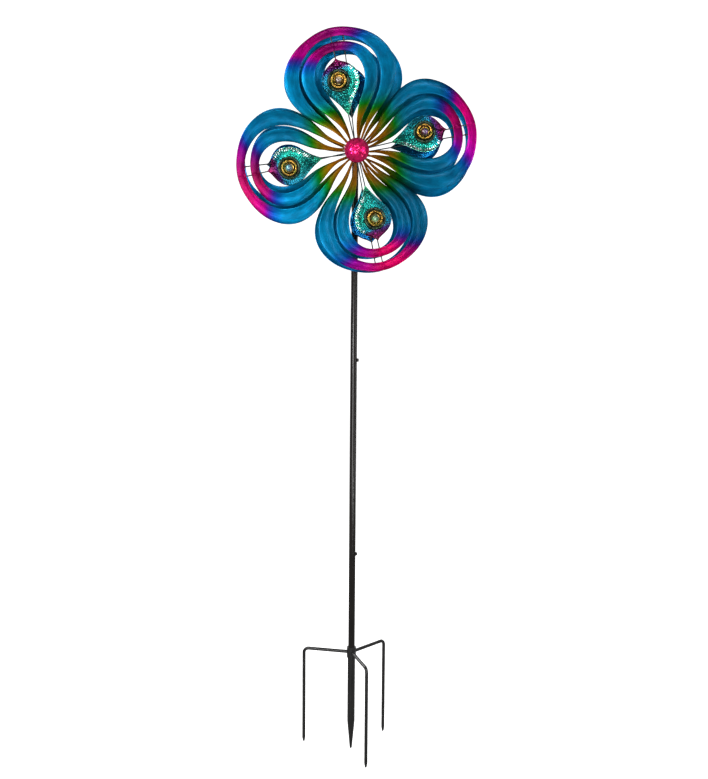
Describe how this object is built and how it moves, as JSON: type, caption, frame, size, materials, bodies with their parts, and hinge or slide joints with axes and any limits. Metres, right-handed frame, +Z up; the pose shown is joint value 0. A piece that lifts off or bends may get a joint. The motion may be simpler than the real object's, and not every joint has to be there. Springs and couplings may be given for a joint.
{
  "type": "dual-rotor garden wind spinner",
  "caption": "Tall garden wind spinner: two coaxial petal rotors of nested painted metal loops with peacock-eye plates, free-turning on a sectional pole with a pronged ground stake.",
  "frame": {"origin": "on the pole axis at the ground line, the underside of the stake collar", "axes": "+Z up the pole, -Y towards the decorated front of the front rotor, +X to the right seen from the front"},
  "size_m": [0.6094, 0.2334, 1.9087],
  "materials": {
    "painted_loops": "metallic paint that fades from magenta at the outer ends through blue and teal to green and gold at the hub",
    "hammered_plates": "hammered metallic emerald paint",
    "eye_rings": "black-green rim around a gold ring",
    "jewels": "iridescent cabochon",
    "rods": "dark painted wire",
    "hub_steel": "dark painted steel",
    "bushes": "natural nylon",
    "dome_cap": "glossy pink hammered paint",
    "zinc_hardware": "zinc plated",
    "pole_screws": "dark screws",
    "plug": "black moulded plug",
    "stand_black": "gloss dark bronze-black powder coat"
  },
  "bodies": {
    "stand": {"axle": "zinc_hardware", "axle_front_nut": "zinc_hardware", "axle_lock_nut": "zinc_hardware", "axle_rear_nut": "zinc_hardware", "axle_socket": "stand_black", "axle_washers": "zinc_hardware", "ground_stake": "stand_black", "pole_joint_screws": "pole_screws", "pole_lower": "stand_black", "pole_middle": "stand_black", "pole_top_plug": "plug", "pole_upper": "stand_black", "prong_front": "stand_black", "prong_left": "stand_black", "prong_right": "stand_black", "rear_spacer": "zinc_hardware", "rotor_spacer": "zinc_hardware", "stake_collar": "stand_black"},
    "front_rotor": {"front_bushes": "bushes", "front_cap_clip": "hub_steel", "front_dome_cap": "dome_cap", "front_eye_jewels": "jewels", "front_eye_plate_1": "hammered_plates", "front_eye_plate_2": "hammered_plates", "front_eye_plate_3": "hammered_plates", "front_eye_plate_4": "hammered_plates", "front_eye_rings": "eye_rings", "front_hub_plate": "hub_steel", "front_hub_sleeve": "hub_steel", "front_inner_loop_1": "painted_loops", "front_inner_loop_2": "painted_loops", "front_inner_loop_3": "painted_loops", "front_inner_loop_4": "painted_loops", "front_outer_loop_1": "painted_loops", "front_outer_loop_2": "painted_loops", "front_outer_loop_3": "painted_loops", "front_outer_loop_4": "painted_loops", "front_support_rods": "rods"},
    "rear_rotor": {"rear_bushes": "bushes", "rear_eye_jewels": "jewels", "rear_eye_plate_1": "hammered_plates", "rear_eye_plate_2": "hammered_plates", "rear_eye_plate_3": "hammered_plates", "rear_eye_plate_4": "hammered_plates", "rear_eye_rings": "eye_rings", "rear_hub_plate": "hub_steel", "rear_hub_sleeve": "hub_steel", "rear_inner_loop_1": "painted_loops", "rear_inner_loop_2": "painted_loops", "rear_inner_loop_3": "painted_loops", "rear_inner_loop_4": "painted_loops", "rear_outer_loop_1": "painted_loops", "rear_outer_loop_2": "painted_loops", "rear_outer_loop_3": "painted_loops", "rear_outer_loop_4": "painted_loops", "rear_support_rods": "rods"}
  },
  "joints": [
    {"name": "front_rotor_spin", "type": "hinge", "parent": "stand", "child": "front_rotor", "pos_m": [0, -0.104, 1.345], "axis": [0, -1, 0], "continuous": true},
    {"name": "rear_rotor_spin", "type": "hinge", "parent": "stand", "child": "rear_rotor", "pos_m": [0, -0.048, 1.345], "axis": [0, -1, 0], "continuous": true}
  ]
}
